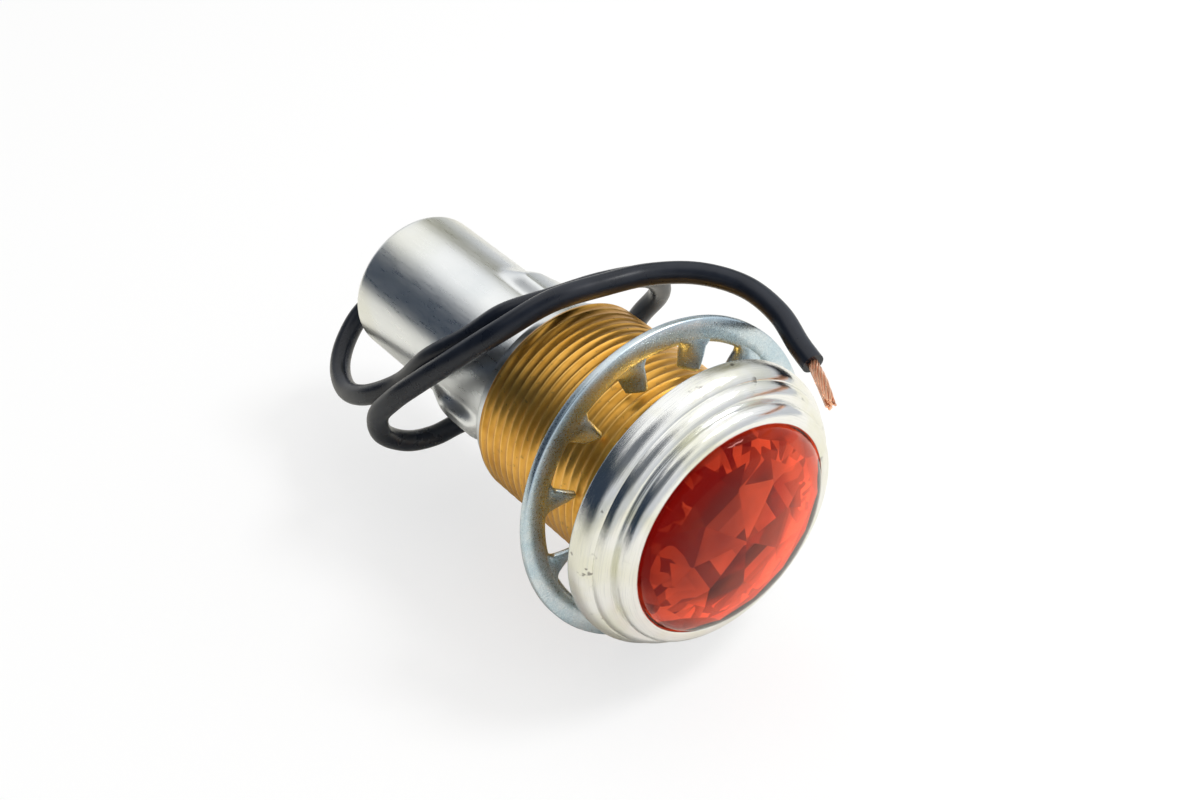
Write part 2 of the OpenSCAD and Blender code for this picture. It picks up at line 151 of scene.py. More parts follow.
# All sizes in this script are in millimetres, until they meet MM. The routes are the part's own.
WIRE_D = 2.3
STRAND_D = 1.2
ROUTE = [(0, 41, 0), (0, 46, 0), (-1.5, 50, -2), (-4.5, 52, -5), (-7.5, 51, -7), (-10, 48.5, -8),
    (-12, 44, -7.5), (-12.5, 39, -5), (-11, 34, -1), (-10, 30, 4), (-7.5, 26, 8), (-5, 23.5, 11),
    (-1, 21, 12.5), (4, 19.5, 13), (9, 19, 12), (12, 20, 9.5), (13.5, 21.5, 6.5), (13, 24, 2.5),
    (12, 25.5, -1.5), (9, 27.5, -6.5), (5.5, 30, -9), (0.5, 32.5, -10), (-3.5, 34, -10), (-7, 34.5, -10.5),
    (-10.5, 34.5, -9.5), (-13.5, 34.5, -7), (-14.5, 33.5, -3.5), (-14, 31, 0), (-12.5, 28, 3.5),
    (-10, 24, 8), (-7, 21, 11.5), (-2.5, 19, 14), (2.5, 17.5, 14.5), (7.5, 16, 14.5), (11.5, 13, 14.5),
    (14, 9, 14), (14, 4, 13.5), (13, 0, 12.5), (12.5, -2.5, 12)]
STRAND_ROUTE = [(12.5, -2.5, 12), (10.5, -5.5, 13), (8, -9.5, 13.5)]


def lead_wire():
    """The insulated wire from the sprung contact to its stripped end."""
    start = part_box("contact_button")[1].y / MM
    line = [p * MM for p in smooth_line([(0, start, 0)] + ROUTE, 8)]
    bm = bmesh.new()
    sweep(bm, line, WIRE_D / 2 * MM, sides=24)
    wire = add("wire_insulation", "contact", bm, ["lead_wire"], sharp=50)
    strands()
    return wire


def strands():
    """The bare end: copper strands that lie twisted round each other and part a little at the tip."""
    line = [p * MM for p in smooth_line(STRAND_ROUTE, 14)]
    ways = headings(line)
    up = Vector((0, 0, 1))
    strand_r = STRAND_D * 0.11 * MM
    twist, spread = 3.2, 0.12
    layers = ((1, 0.0), (6, 0.36), (11, 0.76))  # how many strands, and how far out of the conductor's radius
    bm = bmesh.new()
    for count, reach in layers:
        for s in range(count):
            path = []
            for i, (p, t) in enumerate(zip(line, ways)):
                u = i / (len(line) - 1)
                side = (up - up.dot(t) * t).normalized()
                other = t.cross(side)
                a = math.tau * s / count + twist * u + 0.5 * count
                r = STRAND_D / 2 * MM * reach * (1 + spread * u * math.sin(5 * s + count))
                path.append(p + (math.cos(a) * side + math.sin(a) * other) * r)
            uneven = (s * 7 + count) % 3
            sweep(bm, path[:len(path) - uneven], strand_r, sides=8)
    return add("wire_strands", "contact", bm, ["lead_strands"])


WIRE = lead_wire()


# ---------- materials ----------

class Shader:
    """Builds one node tree. A socket takes a plain value, a node's main output, or a (node, output) pair."""

    def __init__(self, name, tree=None):
        self.material = None
        if tree is None:
            self.material = bpy.data.materials.new(name)
            self.material.use_nodes = True
            tree = self.material.node_tree
        self.tree = tree
        tree.nodes.clear()

    def feed(self, socket, value):
        """Links a socket to a node, or sets it to a constant."""
        if hasattr(value, "outputs"):
            main = 2 if value.bl_idname == "ShaderNodeMix" else 0
            self.tree.links.new(value.outputs[main], socket)
        elif isinstance(value, tuple) and hasattr(value[0], "outputs"):
            self.tree.links.new(value[0].outputs[value[1]], socket)
        elif socket.type == "RGBA":
            socket.default_value = (*value, 1)
        else:
            socket.default_value = value

    def node(self, kind, inputs=None, **settings):
        made = self.tree.nodes.new(kind)
        for key, value in settings.items():
            setattr(made, key, value)
        for key, value in (inputs or {}).items():
            self.feed(made.inputs[key], value)
        return made

    def math(self, operation, a, b=0.0, c=0.0, clamp=False):
        return self.node("ShaderNodeMath", {0: a, 1: b, 2: c}, operation=operation, use_clamp=clamp)

    def mix(self, factor, a, b):
        """A colour between a and b."""
        return self.node("ShaderNodeMix", {0: factor, 6: a, 7: b}, data_type="RGBA")

    def along(self, x, y, z):
        """How far a point of the object lies along a direction, in the direction's own length."""
        place = self.node("ShaderNodeTexCoord")
        made = self.node("ShaderNodeVectorMath", {0: (place, "Object"), 1: (x, y, z)}, operation="DOT_PRODUCT")
        return (made, "Value")

    def ramp(self, value, low, high, to_low=0.0, to_high=1.0):
        """A smooth map of a value between two levels."""
        return self.node("ShaderNodeMapRange", {"Value": value, "From Min": low, "From Max": high,
            "To Min": to_low, "To Max": to_high}, interpolation_type="SMOOTHSTEP")

    def around(self):
        """Object coordinates taken round the light's axis: radius and Y in millimetres, and the angle."""
        place = self.node("ShaderNodeTexCoord")
        split = self.node("ShaderNodeSeparateXYZ", {0: (place, "Object")})
        flat = self.node("ShaderNodeCombineXYZ", {0: (split, 0), 1: 0.0, 2: (split, 2)})
        radius = self.node("ShaderNodeVectorMath", {0: flat}, operation="LENGTH")
        angle = self.math("ARCTAN2", (split, 2), (split, 0))
        return (self.math("MULTIPLY", (radius, "Value"), 1000.0), self.math("MULTIPLY", (split, 1), 1000.0), angle)

    def noise(self, scale, detail=4.0, rough=0.6, vector=None):
        vector = vector or (self.node("ShaderNodeTexCoord"), "Object")
        return self.node("ShaderNodeTexNoise", {"Vector": vector, "Scale": scale, "Detail": detail,
            "Roughness": rough})

    def bump(self, height, distance, strength):
        return self.node("ShaderNodeBump", {"Strength": strength, "Distance": distance, "Height": height})

    def surface(self, **inputs):
        """Ends the tree in a Principled shader."""
        names = {"color": "Base Color", "metal": "Metallic", "rough": "Roughness", "normal": "Normal", "ior": "IOR",
            "through": "Transmission Weight", "shine": "Specular Tint"}
        shader = self.node("ShaderNodeBsdfPrincipled", {names[key]: value for key, value in inputs.items()})
        return self.finish(shader)

    def finish(self, shader):
        """Joins a shader to the material's output."""
        self.node("ShaderNodeOutputMaterial", {"Surface": shader})
        return self.material


def bright_plate():
    """Bright plating: turned scratches, cloudy tints and a few dark flecks."""
    s = Shader("bright_plate")
    radius, height, angle = s.around()
    fine = s.node("ShaderNodeCombineXYZ", {0: s.math("MULTIPLY", radius, 9.0), 1: s.math("MULTIPLY", height, 9.0),
        2: s.math("MULTIPLY", angle, 1.6)})
    scratch = s.noise(1.6, 5.0, 0.7, fine)
    cloud = s.noise(160.0, 3.0, 0.55)
    fleck = s.noise(900.0, 2.0, 0.5)
    tint = s.mix(s.ramp(cloud, 0.42, 0.68), (0.82, 0.83, 0.83), (0.76, 0.76, 0.66))
    tint = s.mix(s.ramp(scratch, 0.50, 0.72, 0.0, 0.55), tint, (0.50, 0.51, 0.54))
    dark = s.math("MULTIPLY", s.ramp(fleck, 0.66, 0.72), s.ramp(cloud, 0.50, 0.62))
    color = s.mix(dark, tint, (0.30, 0.29, 0.26))
    dull = s.math("MULTIPLY", s.ramp(cloud, 0.5, 0.75), 0.10)
    rough = s.math("ADD", s.ramp(scratch, 0.35, 0.75, 0.08, 0.24), dull)
    relief = s.math("ADD", s.math("MULTIPLY", scratch, 0.7), s.math("MULTIPLY", cloud, 0.9))
    return s.surface(color=color, metal=1.0, rough=rough, normal=s.bump(relief, 0.00004, 0.5))


def satin_zinc():
    """Drawn tube under satin zinc: draw lines along it, a cream cast towards the rear end."""
    s = Shader("satin_zinc")
    radius, height, angle = s.around()
    along = s.node("ShaderNodeCombineXYZ", {0: s.math("MULTIPLY", angle, 26.0), 1: s.math("MULTIPLY", height, 0.30),
        2: radius})
    lines = s.noise(1.0, 5.0, 0.65, along)
    grain = s.noise(2600.0, 3.0, 0.6)
    cloud = s.noise(110.0, 3.0, 0.5)
    cast = s.math("MULTIPLY", s.ramp(height, 36.0, 47.0, 0.0, 0.45), s.ramp(cloud, 0.35, 0.6))
    zinc = s.mix(s.ramp(cloud, 0.4, 0.7), (0.80, 0.82, 0.83), (0.72, 0.75, 0.77))
    color = s.mix(cast, zinc, (0.82, 0.80, 0.66))
    rough = s.math("ADD", s.ramp(lines, 0.3, 0.7, 0.24, 0.32), s.math("MULTIPLY", grain, 0.05))
    relief = s.math("ADD", s.math("MULTIPLY", lines, 0.06), s.math("MULTIPLY", s.math("ADD", grain, cloud), 0.7))
    return s.surface(color=color, metal=1.0, rough=rough, normal=s.bump(relief, 0.00003, 0.3))


def turned_brass():
    """Threaded brass, with painted highlights on its thread crests and painted shade in its grooves."""
    s = Shader("turned_brass")
    radius = s.around()[0]
    cloud = s.noise(190.0, 4.0, 0.6)
    speck = s.noise(1500.0, 3.0, 0.6)
    # Painted highlight and shade: the crests take a lighter brass than the grooves.
    crest = s.ramp(radius, 11.02, 11.1)
    groove = s.mix(s.ramp(cloud, 0.35, 0.7), (0.80, 0.43, 0.085), (0.60, 0.29, 0.04))
    color = s.mix(crest, groove, (0.97, 0.61, 0.18))
    color = s.mix(s.math("MULTIPLY", s.ramp(speck, 0.62, 0.72), 0.6), color, (0.34, 0.20, 0.06))
    rough = s.math("ADD", s.ramp(cloud, 0.3, 0.7, 0.26, 0.40), s.math("MULTIPLY", speck, 0.08))
    return s.surface(color=color, metal=1.0, rough=rough, normal=s.bump(speck, 0.00003, 0.4))


def plain_brass():
    """Smooth brass of the lamp base and the contact."""
    s = Shader("plain_brass")
    cloud = s.noise(300.0, 4.0, 0.6)
    return s.surface(color=s.mix(s.ramp(cloud, 0.35, 0.7), (0.84, 0.62, 0.28), (0.70, 0.48, 0.18)), metal=1.0,
        rough=s.ramp(cloud, 0.3, 0.7, 0.20, 0.34), normal=s.bump(cloud, 0.00003, 0.3))


def zinc_sheet():
    """Stamped spring steel under bluish zinc, with a fine grain."""
    s = Shader("zinc_sheet")
    grain = s.noise(5200.0, 4.0, 0.7)
    cloud = s.noise(300.0, 4.0, 0.6)
    color = s.mix(s.ramp(cloud, 0.38, 0.68), (0.50, 0.62, 0.70), (0.66, 0.73, 0.77))
    color = s.mix(s.math("MULTIPLY", s.ramp(grain, 0.56, 0.72), 0.5), color, (0.26, 0.33, 0.39))
    rough = s.math("ADD", s.ramp(grain, 0.3, 0.7, 0.20, 0.34), s.math("MULTIPLY", cloud, 0.06))
    relief = s.math("ADD", s.math("MULTIPLY", grain, 0.5), s.math("MULTIPLY", cloud, 1.5))
    return s.surface(color=color, metal=1.0, rough=rough, normal=s.bump(relief, 0.00004, 0.45))


def steel(name, tint, rough_low, rough_high):
    """Plain steel, solder or nickel with a fine grain."""
    s = Shader(name)
    grain = s.noise(1800.0, 4.0, 0.6)
    dark = tuple(0.72 * c for c in tint)
    return s.surface(color=s.mix(s.ramp(grain, 0.35, 0.7), tint, dark), metal=1.0,
        rough=s.ramp(grain, 0.3, 0.7, rough_low, rough_high), normal=s.bump(grain, 0.00002, 0.4))


def insulation():
    """Black PVC with a slate cast, faint drag marks and a soft sheen."""
    s = Shader("insulation")
    fine = s.noise(1400.0, 3.0, 0.6)
    smear = s.noise(260.0, 4.0, 0.6)
    color = s.mix(s.ramp(smear, 0.35, 0.7), (0.008, 0.011, 0.019), (0.015, 0.019, 0.030))
    relief = s.math("ADD", s.math("MULTIPLY", fine, 0.2), smear)
    return s.surface(color=color, rough=s.ramp(smear, 0.3, 0.7, 0.24, 0.36), ior=1.38,
        normal=s.bump(relief, 0.00006, 0.3))


def rubber():
    """Matt black rubber."""
    s = Shader("rubber")
    fine = s.noise(1200.0, 4.0, 0.7)
    return s.surface(color=s.mix(s.ramp(fine, 0.3, 0.7), (0.012, 0.012, 0.014), (0.03, 0.03, 0.032)), rough=0.7,
        normal=s.bump(fine, 0.00005, 0.5))


def board():
    """Laminated phenolic: brown, with thin layers across the disc's edge."""
    s = Shader("board")
    layers = s.node("ShaderNodeTexWave", {"Vector": (s.node("ShaderNodeTexCoord"), "Object"), "Scale": 900.0,
        "Distortion": 1.5}, wave_type="BANDS", bands_direction="Y")
    fine = s.noise(800.0, 4.0, 0.6)
    color = s.mix((layers, "Fac"), (0.16, 0.07, 0.03), (0.23, 0.11, 0.05))
    return s.surface(color=s.mix(s.ramp(fine, 0.5, 0.75), color, (0.10, 0.045, 0.02)), rough=0.45,
        normal=s.bump(fine, 0.00003, 0.4))


def bare_copper():
    """Bare copper, a little darker in patches."""
    s = Shader("bare_copper")
    fine = s.noise(1500.0, 4.0, 0.6)
    return s.surface(color=s.mix(s.ramp(fine, 0.35, 0.7), (0.95, 0.58, 0.40), (0.84, 0.42, 0.25)), metal=1.0,
        rough=s.ramp(fine, 0.3, 0.7, 0.26, 0.42), normal=s.bump(fine, 0.00002, 0.4))


def clear_glass():
    """Clear blown glass with faint waves."""
    s = Shader("clear_glass")
    fine = s.noise(90.0, 3.0, 0.5)
    return s.surface(color=s.mix(s.ramp(fine, 0.3, 0.7), (0.96, 0.97, 0.97), (0.92, 0.94, 0.94)), through=1.0,
        rough=s.ramp(fine, 0.3, 0.7, 0.0, 0.03), ior=1.5, normal=s.bump(fine, 0.00004, 0.2))


def black_glass():
    """Black fused glass."""
    s = Shader("black_glass")
    fine = s.noise(700.0, 3.0, 0.5)
    return s.surface(color=s.mix(s.ramp(fine, 0.3, 0.7), (0.01, 0.01, 0.013), (0.02, 0.02, 0.024)),
        rough=s.ramp(fine, 0.3, 0.7, 0.06, 0.16), normal=s.bump(fine, 0.00003, 0.3))


def ruby_glass():
    """Red-orange glass: clear, with faint ripples and a few seeds, and a painted reflection that is weaker at its
    upper left.
    """
    s = Shader("ruby_glass")
    ripple = s.noise(120.0, 2.0, 0.5)
    seeds = s.noise(1300.0, 2.0, 0.5)
    # Painted reflection: the specular tint is dimmed towards the upper left and full towards the lower right.
    shine = s.mix(s.ramp(s.along(90.0, 0.0, -90.0), -0.1, 0.9), (0.34, 0.16, 0.14), (0.90, 0.80, 0.80))
    color = s.mix(s.ramp(ripple, 0.35, 0.65), (1.0, 0.44, 0.32), (0.98, 0.50, 0.36))
    color = s.mix(s.math("MULTIPLY", s.ramp(seeds, 0.70, 0.76), 0.5), color, (1.0, 0.80, 0.65))
    return s.surface(color=color, through=1.0, rough=0.0, ior=1.5, shine=shine,
        normal=s.bump(ripple, 0.00005, 0.12))


def ruby_back():
    """The cut back of the jewel, which throws most of the light forwards again; its facets carry painted light and a
    painted glow.
    """
    s = Shader("ruby_back")
    ripple = s.noise(260.0, 3.0, 0.5)
    # Each facet has its own random tone, and painted light makes it brighter towards the lower right and the rim.
    facing = s.node("ShaderNodeVectorMath", {0: (s.node("ShaderNodeTexCoord"), "Normal"), 1: (0.03, 0.03, 0.03)},
        operation="SNAP")
    chance = s.node("ShaderNodeTexWhiteNoise", {"Vector": facing}, noise_dimensions="3D")
    tone = s.math("ADD", s.math("MULTIPLY", (chance, "Value"), 0.62), s.math("ADD", s.along(46.0, 0.0, -40.0), 0.06))
    tone = s.math("ADD", tone, s.ramp(s.around()[0], 5.8, 8.8, 0.0, 0.14))
    lit = s.math("ADD", tone, s.math("MULTIPLY", s.math("SUBTRACT", ripple, 0.5), 0.5), clamp=True)
    # The mirror, glass and matt colours all follow this painted light.
    tint = s.mix(lit, (0.38, 0.015, 0.012), (1.0, 0.24, 0.12))
    mirror = s.node("ShaderNodeBsdfGlossy", {"Color": tint, "Roughness": 0.03, "Normal": s.bump(ripple, 0.00004, 0.2)})
    clear = s.node("ShaderNodeBsdfGlass", {"Color": tint, "Roughness": 0.0, "IOR": 1.5})
    matt = s.node("ShaderNodeBsdfDiffuse", {"Color": s.mix(lit, (0.17, 0.004, 0.004), (1.0, 0.22, 0.10))})
    body = s.node("ShaderNodeMixShader", {0: 0.70, 1: mirror, 2: matt})
    glass = s.node("ShaderNodeMixShader", {0: 0.10, 1: body, 2: clear})
    # A painted glow on the brighter facets, standing in for the light that a real jewel gathers from its front and
    # sends back through these facets.
    painted_glow = s.node("ShaderNodeEmission", {"Color": (1.0, 0.13, 0.045),
        "Strength": s.math("MULTIPLY", s.math("POWER", lit, 2.0), 0.55)})
    return s.finish(s.node("ShaderNodeAddShader", {0: glass, 1: painted_glow}))


MATERIALS = {"chrome": bright_plate(), "ruby_glass": ruby_glass(), "gasket_rubber": rubber(),
    "brass": plain_brass(), "zinc_plate": zinc_sheet(), "satin_plate": satin_zinc(),
    "spring_steel": steel("spring_steel", (0.62, 0.63, 0.65), 0.18, 0.30), "phenolic": board(),
    "pvc_black": insulation(), "copper_strand": bare_copper(), "clear_glass": clear_glass(),
    "black_glass": black_glass(), "solder": steel("solder", (0.62, 0.62, 0.62), 0.30, 0.48),
    "nickel_wire": steel("nickel_wire", (0.66, 0.64, 0.60), 0.24, 0.36),
    "tungsten": steel("tungsten", (0.36, 0.36, 0.38), 0.35, 0.50)}
THREAD_BRASS = turned_brass()
RUBY_BACK = ruby_back()


# ---------- turned pieces ----------

def circle(bm, r, z, segments):
    """A ring of vertices round the axis."""
    return [bm.verts.new(on_axis(r, z, math.tau * k / segments)) for k in range(segments)]


def arc(p, c, q, n):
    """Points of a curve from p to q that bends towards c, without its last point."""
    return [tuple((1 - t) ** 2 * a + 2 * t * (1 - t) * b + t * t * d for a, b, d in zip(p, c, q))
        for t in (i / n for i in range(n))]


BEZEL_R = 15.5
LIP_R = BEZEL_R - 2.25
OPENING_R = 11.48
THREAD_R = 11.1
BARREL_BORE_R = 10.0
PITCH = 1.06
ENGAGE = 3.2
GASKET_TOP = 4.0
FLANGE_TOP = 5.1
LENS_R = 12.13
LENS_SEAT_R = 12.23
LENS_TOP = 8.2
BARREL_REAR = -20.4


def bezel():
    """The screw bezel with its two beads, step groove and rolled lip."""
    r = BEZEL_R
    bore, groove = 11.15, 11.55
    profile = (arc((r - 0.4, 0), (r, 0), (r, 0.4), 8) + arc((r, 0.4), (r, 0.7), (r, 1.0), 2)
        + arc((r, 1.0), (r, 2.1), (r - 0.8, 2.7), 14) + arc((r - 0.8, 2.7), (r - 0.86, 2.74), (r - 0.92, 2.75), 3)
        + arc((r - 0.92, 2.75), (r - 1.0, 3.7), (r - 1.8, 4.05), 12)
        + arc((r - 1.8, 4.05), (r - 2.0, 4.1), (LIP_R - 0.15, 4.1), 3)
        + arc((LIP_R - 0.15, 4.1), (LIP_R - 0.2, 4.2), (LIP_R - 0.1, 4.35), 4)
        + arc((LIP_R - 0.1, 4.35), (LIP_R + 0.05, 5.45), (LIP_R - 1, 5.8), 12)
        + arc((LIP_R - 1, 5.8), (OPENING_R, 6.0), (OPENING_R, 5.5), 10)
        + [(OPENING_R, FLANGE_TOP), (LENS_SEAT_R, FLANGE_TOP), (LENS_SEAT_R, 3.0), (bore, 3.0)]
        + [(r, z) for top in (2.3, 1.3) for r, z in ((bore, top), (groove, top - 0.3), (bore, top - 0.6))]
        + [(bore, 0)])
    bm = bmesh.new()
    join_rings(bm, [circle(bm, r, z, 256) for r, z in profile], closed=True)
    return add("bezel_ring", "bezel", bm, ["bezel"], sharp=50)


def thread_shape(phase):
    """Depth of the thread, 0 at the crest and 1 in the groove, for a phase from 0 to 1."""
    return 1 - (abs((phase % 1.0) - 0.5) * 2) ** 2.6


def barrel():
    """The brass barrel with its helical thread."""
    low, high = BARREL_REAR, ENGAGE
    segments, rows = 160, 220
    depth, lead, chamfer = 0.13, 0.5, 0.35
    bm = bmesh.new()
    grid = []
    for i in range(rows + 1):
        z = low + (high - low) * i / rows
        ring = []
        end = min(1.0, (z - low) / lead, (high - z) / lead)
        for k in range(segments):
            turn = k / segments
            r = THREAD_R - depth * thread_shape(z / PITCH - turn) * max(0.0, end) - chamfer * (1 - end) ** 2
            ring.append(bm.verts.new(on_axis(r, z, math.tau * turn)))
        grid.append(ring)
    bore = [circle(bm, BARREL_BORE_R, z, segments) for z in (high, low)]
    join_rings(bm, grid + bore, closed=True)
    return add("barrel_thread", "housing", bm, ["barrel"], sharp=60)


def lens():
    """The jewel: a smooth dome, and behind it two rings of facets round a low pyramid."""
    body = OPENING_R - 0.18
    dome = ([(LENS_R, GASKET_TOP), (LENS_R, FLANGE_TOP), (body, FLANGE_TOP)]
        + arc((body, 5.6), (body, 6.35), (body - 1.1, 7.0), 12)
        + arc((body - 1.1, 7.0), (body - 3.1, LENS_TOP), (0, LENS_TOP), 40))
    bm = bmesh.new()
    segments = 192
    rows = [circle(bm, r, z, segments) for r, z in dome]
    join_rings(bm, rows)
    top = bm.verts.new(on_axis(0, LENS_TOP, 0))
    for k in range(segments):
        bm.faces.new((rows[-1][k], rows[-1][(k + 1) % segments], top))
    # The back is cut flat at its rim, then by facets with their edges shared between the rings.
    count, turn = 8, math.radians(84)
    n = count * 2
    shift = math.pi / n

    def ring(r, depth, angle, corners):
        return [bm.verts.new(on_axis(r, GASKET_TOP + depth, turn + angle + math.tau * k / corners))
            for k in range(corners)]

    outer = ring(10.3, 0, 0, n)
    ridge = ring(9.3, 0.75, shift, n)
    middle = ring(7.9, 1.15, 0, n)
    inner = ring(5.9, 1.9, shift, count)
    apex = bm.verts.new(on_axis(0, GASKET_TOP + 3.3, 0))
    cut = {*outer, *ridge, *middle, *inner, apex}
    for near, far in ((outer, ridge), (ridge, middle[1:] + middle[:1])):
        for k in range(n):
            j = (k + 1) % n
            bm.faces.new((near[k], near[j], far[k]))
            bm.faces.new((far[k], near[j], far[j]))
    for k in range(count):
        j = (k + 1) % count
        a, b, c = middle[2 * k], middle[2 * k + 1], middle[(2 * k + 2) % n]
        bm.faces.new((inner[k], a, b))
        bm.faces.new((inner[k], b, inner[j]))
        bm.faces.new((inner[j], b, c))
        bm.faces.new((inner[k], inner[j], apex))
    # The flat rim joins the facets' outer ring to the round edge.
    edge = rows[0]
    step = segments // n
    start = round(turn / math.tau * segments)
    for k in range(n):
        span = [edge[(start + k * step + i) % segments] for i in range(step + 1)]
        bm.faces.new(span + [outer[(k + 1) % n], outer[k]])
    rim = set(edge)
    for face in bm.faces:
        face.material_index = int(any(v in cut for v in face.verts) and not any(v in rim for v in face.verts))
    return add("jewel", "bezel", bm, ["lens"], sharp=6)


# ---------- contact spring ----------

def spring():
    """The spring behind the contact, at one fixed length; its end turns lie flat."""
    low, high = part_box("contact_spring")
    wire_r, coil_r, turns, steps, travel = 0.4 * MM, 5.5 * MM, 5, 24, 2 * MM
    front, rear = low.y + wire_r, high.y - wire_r
    path = []
    for i in range(turns * steps + 1):
        rise = min(1.0, max(0.0, (i / steps - 1) / (turns - 2)))
        a = math.tau * i / steps
        path.append(Vector((coil_r * math.cos(a), rear + (front - rear) * rise, coil_r * math.sin(a))))
    bm = bmesh.new()
    sweep(bm, path, wire_r, sides=12)
    piece = add("spring_coil", "housing", bm, ["contact_spring"], sharp=50)
    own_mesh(piece)
    return piece


# ---------- socket shell ----------

def shell():
    """The drawn shell as one skin: flange, tube, and two pressed-out channels that fade into the tube."""
    rear, front, spigot = -47.2, BARREL_REAR, 5.0
    tube_r, flange_r, spigot_r, corner_r, hole_r, sheet = 8.15, 10.35, 10.0, 0.8, 2.0, 0.5
    bore_r = tube_r - sheet
    flare_start, flare_end = -23.4, -21.6
    lock, entry, across, soft = 25.0, 40.0, 19.0, 13.0
    notch_start, notch_end, run_start, run_end, rise = -23.6, -34.4, -24.6, -33.4, 1.15
    segments = 288

    def ease(v, width):
        t = min(1.0, max(0.0, v / width))
        return t * t * (3 - 2 * t)

    def groove(z, degrees):
        """Height of the pressed-out channels above the tube: a notch, a way in, and the run that joins them."""
        best = 0.0
        for side in (0, 180):
            a = (degrees - lock - side + 180) % 360 - 180
            rear_end = ease(z - notch_end, 4.6)
            notch = ease(across - abs(a), soft) * ease(notch_start - z, 2.6) * rear_end
            way_in = ease(across - abs(a - entry), soft) * rear_end
            run = (ease(min(a + across, entry + across - a), soft) * ease(run_start - z, 2.6)
                * ease(z - run_end, 4.2))
            best += notch ** 5 + way_in ** 5 + run ** 5
        return rise * min(1.0, best ** 0.2)

    def base(z):
        """Radius of the shell without its channels."""
        if z > flare_end:
            return flange_r
        if z > flare_start:
            return tube_r + 1.9 * ((z - flare_start) / (flare_end - flare_start)) ** 2.4
        d = max(0.0, rear + corner_r - z)
        return tube_r - corner_r + math.sqrt(max(0.0, corner_r ** 2 - d * d))

    def loop(radius, z):
        """A ring of vertices; radius is a function of the angle in degrees."""
        return [bm.verts.new(on_axis(radius(360 * k / segments), z, math.tau * k / segments)) for k in range(segments)]

    def plain(r, z):
        return circle(bm, r, z, segments)

    heights = ([rear + corner_r * (1 - math.cos(math.pi / 2 * i / 8)) for i in range(8)]
        + [rear + corner_r + i * (12.6 - corner_r) / 14 for i in range(14)] + [-34.6 + 0.2 * i for i in range(56)]
        + [flare_start + 0.15 * i for i in range(12)])
    bm = bmesh.new()
    skin = [loop(lambda degrees: max(base(z), min(10.2, tube_r + groove(z, degrees))), z) if z > rear + 1
        else plain(base(z), z) for z in heights]
    skin += [plain(10.05, flare_end), plain(10.3, flare_end + 0.1), plain(flange_r, flare_end + 0.3),
        plain(flange_r, front), plain(spigot_r, front), plain(spigot_r, front + spigot),
        plain(spigot_r - sheet, front + spigot), plain(spigot_r - sheet, -21.0), plain(bore_r, -22.5)]
    skin += [loop(lambda degrees: bore_r + groove(z, degrees), z)
        for z in reversed([h for h in heights if rear + sheet < h < flare_start])]
    skin += [plain(bore_r, rear + sheet), plain(hole_r, rear + sheet), plain(hole_r, rear)]
    join_rings(bm, skin, closed=True)
    return add("shell_skin", "housing", bm, ["socket_shell"], sharp=48)


# ---------- lock washer ----------

def washer():
    """The loose lock washer: a rim with rounded edges, and teeth that flow out of it and twist."""
    lean, swing, first = math.radians(-6.5), math.radians(-2), math.radians(14)
    tilt = Matrix.Rotation(swing, 3, "Y") @ Matrix.Rotation(lean, 3, "X")
    outer, root, tip, thick, teeth, middle = 17.2, 14.6, 11.75, 0.9, 12, 3.9

    def place(x, y, z):
        p = tilt @ Vector((x, y, z))
        return Vector((p.x, middle - p.z, p.y)) * MM

    bm = bmesh.new()
    # the rim, with its inner edge rolled a little to the rear
    h = thick / 2
    rim = [(root + 0.1, -h - 0.12), (root + 0.6, -h), (outer - 0.18, -h), (outer - 0.05, -h + 0.06), (outer, -h + 0.2),
        (outer, h - 0.2), (outer - 0.05, h - 0.06), (outer - 0.18, h), (root + 0.6, h), (root + 0.15, h - 0.16),
        (root, h - 0.35), (root, -h + 0.1)]
    angles = [math.tau * k / 240 for k in range(240)]
    join_rings(bm, [[bm.verts.new(place(r * math.cos(a), r * math.sin(a), z)) for a in angles] for r, z in rim],
        closed=True)
    # the teeth
    for tooth in range(teeth):
        a = first + math.tau * tooth / teeth
        steps, around = 18, 20
        rings = []
        for i in range(steps + 1):
            u = i / steps
            r = root + 0.5 - (root + 0.5 - tip) * u
            flare = max(0.0, 1 - u / 0.32) ** 2
            half_w = 1.55 * (1 - 0.30 * u) + 1.5 * flare
            half_t = 0.40 * (1 - 0.12 * u)
            if i == steps:
                half_w, half_t = half_w * 0.82, half_t * 0.6
            twist = math.radians(-46) * max(0.0, (u - 0.12) / 0.88) ** 0.8
            ring = []
            for k in range(around):
                b = math.tau * k / around
                w = half_w * math.copysign(abs(math.cos(b)) ** 0.35, math.cos(b))
                t = half_t * math.copysign(abs(math.sin(b)) ** 0.7, math.sin(b))
                side = w * math.cos(twist) - t * math.sin(twist)
                up = w * math.sin(twist) + t * math.cos(twist)
                ring.append(bm.verts.new(place(r * math.cos(a) - side * math.sin(a),
                    r * math.sin(a) + side * math.cos(a), up)))
            rings.append(ring)
        join_rings(bm, rings)
        bm.faces.new(rings[0][::-1])
        bm.faces.new(rings[-1])
    return add("washer_sheet", "housing", bm, ["lock_washer"], sharp=50)


WASHER = washer()
BEZEL = bezel()
BARREL = barrel()
LENS = lens()
SHELL = shell()
SPRING = spring()


# ---------- dressing ----------

def slot_of(node):
    """The material slot that the record gives a node."""
    return next(s["material_slot"] for s in frame["record"]["subparts"] if s["node"] == node)


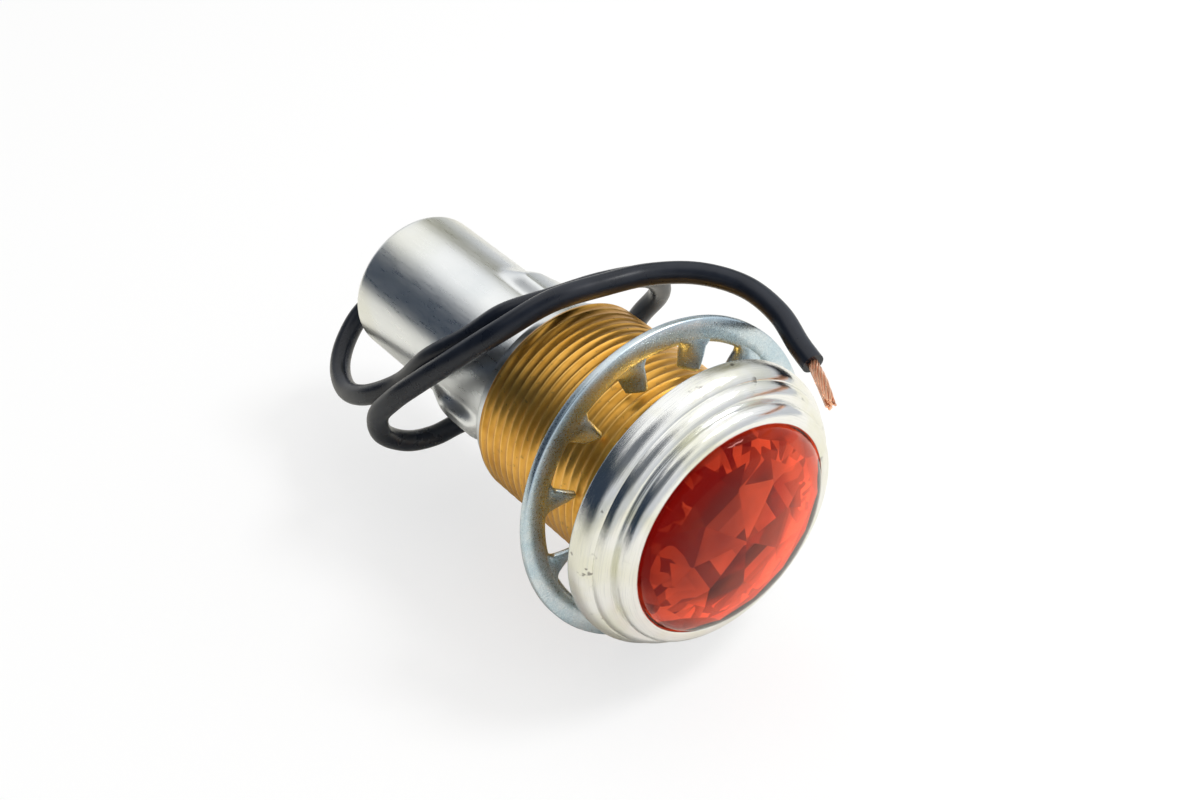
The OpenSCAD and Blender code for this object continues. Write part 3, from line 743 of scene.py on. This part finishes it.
def dress():
    """Gives every piece the material of its slot."""
    for piece, slot in ((WIRE, "pvc_black"), (bpy.data.objects["wire_strands"], "copper_strand"), (BEZEL, "chrome"),
            (LENS, "ruby_glass"), (SHELL, "satin_plate"), (WASHER, "zinc_plate"), (SPRING, "spring_steel")):
        piece.data.materials.append(MATERIALS[slot])
    BARREL.data.materials.append(THREAD_BRASS)
    LENS.data.materials.append(RUBY_BACK)
    for name, piece in frame["nodes"].items():
        piece.data.materials.clear()
        piece.data.materials.append(MATERIALS[slot_of(name)])


dress()


# ---------- stage and light ----------

def floor():
    """A plain pale floor that reads white to the camera and keeps the shadow."""
    s = Shader("floor")
    grain = s.noise(40.0, 3.0, 0.5)
    seen = s.node("ShaderNodeLightPath")
    warm = s.mix(s.ramp(grain, 0.3, 0.7), (0.93, 0.91, 0.83), (0.95, 0.92, 0.86))
    tone = s.mix((seen, "Is Camera Ray"), warm, (0.95, 0.95, 0.95))
    matt = s.node("ShaderNodeBsdfDiffuse", {"Color": tone})
    glow = s.node("ShaderNodeEmission", {"Color": (1.0, 1.0, 1.0), "Strength": 1.0})
    lift = s.math("MULTIPLY", (seen, "Is Camera Ray"), 0.68)
    s.finish(s.node("ShaderNodeMixShader", {0: lift, 1: matt, 2: glow}))
    bm = bmesh.new()
    table = Matrix.Translation((0, 0.02, -0.01745))
    bmesh.ops.create_circle(bm, cap_ends=True, segments=96, radius=0.21, matrix=table)
    mesh = bpy.data.meshes.new("floor")
    bm.to_mesh(mesh)
    bm.free()
    mesh.materials.append(s.material)
    piece = bpy.data.objects.new("floor", mesh)
    bpy.context.collection.objects.link(piece)


def surroundings():
    """A studio that is white to the camera; reflections also see a dark screen, a figure and an olive patch."""
    world = bpy.data.worlds.new("studio")
    bpy.context.scene.world = world
    world.use_nodes = True
    s = Shader("studio", world.node_tree)
    way = (s.node("ShaderNodeTexCoord"), "Generated")
    split = s.node("ShaderNodeSeparateXYZ", {0: way})
    up = (split, 2)

    def toward(x, y, z):
        """How close a direction of the room is to the given one."""
        return (s.node("ShaderNodeVectorMath", {0: way, 1: (x, y, z)}, operation="DOT_PRODUCT"), "Value")

    turn = s.math("ARCTAN2", (split, 1), s.math("MULTIPLY", (split, 0), -1.0))
    wide = s.math("MULTIPLY", s.ramp(turn, -0.42, -0.24), s.ramp(turn, 1.60, 1.10))
    tall = s.math("MULTIPLY", s.ramp(up, -0.50, -0.34), s.ramp(up, 0.86, 0.58))
    figure = s.ramp(toward(-0.60, -0.30, 0.74), 0.80, 0.93, 0.0, 0.88)
    dark = s.math("MAXIMUM", s.math("MULTIPLY", wide, tall), figure)
    olive = s.ramp(toward(0.68, 0.62, 0.39), 0.955, 0.985, 0.0, 0.85)
    room = s.mix(s.ramp(up, 0.0, 0.9), (0.66, 0.68, 0.71), (1.22, 1.21, 1.18))
    room = s.mix(olive, s.mix(dark, room, (0.035, 0.05, 0.075)), (0.17, 0.16, 0.08))
    color = s.mix((s.node("ShaderNodeLightPath"), "Is Camera Ray"), room, (1.0, 1.0, 1.0))
    back = s.node("ShaderNodeBackground", {"Color": color, "Strength": 1.0})
    s.node("ShaderNodeOutputWorld", {"Surface": back})


def lamp(name, place, aim, size, power):
    """A round area light."""
    data = bpy.data.lights.new(name, "AREA")
    data.shape, data.size, data.energy = "DISK", size, power
    light = bpy.data.objects.new(name, data)
    light.location = place
    light.rotation_euler = (Vector(place) - Vector(aim)).to_track_quat("Z", "Y").to_euler()
    bpy.context.collection.objects.link(light)


floor()
surroundings()
lamp("key", (0.16, -0.10, 0.30), (0, 0.02, 0), size=0.10, power=0.55)
bpy.context.scene.view_settings.view_transform = "Standard"
